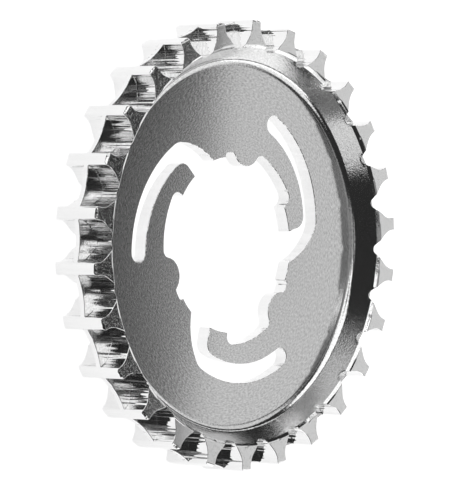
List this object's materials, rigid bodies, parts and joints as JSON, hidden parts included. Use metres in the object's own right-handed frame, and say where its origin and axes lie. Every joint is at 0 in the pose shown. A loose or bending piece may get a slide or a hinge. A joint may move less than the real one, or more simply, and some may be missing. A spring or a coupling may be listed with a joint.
{
  "type": "belt drive sprocket",
  "caption": "Dished bicycle belt sprocket with a fin between its teeth and a lugged hub opening with curved spring arms.",
  "frame": {"origin": "on the axis, level with the rear tooth faces that the part lies on", "axes": "+Z along the axis, out of the dished front face; +Y through the middle of one hub lug"},
  "size_m": [0.0894, 0.0894, 0.011],
  "materials": {
    "plated_steel": "bright nickel-plated steel, polished in the gullets and on the dish wall, satin on the web, finely blasted on the tooth faces"
  },
  "bodies": {
    "root": {"sprocket": "plated_steel"}
  },
  "joints": []
}
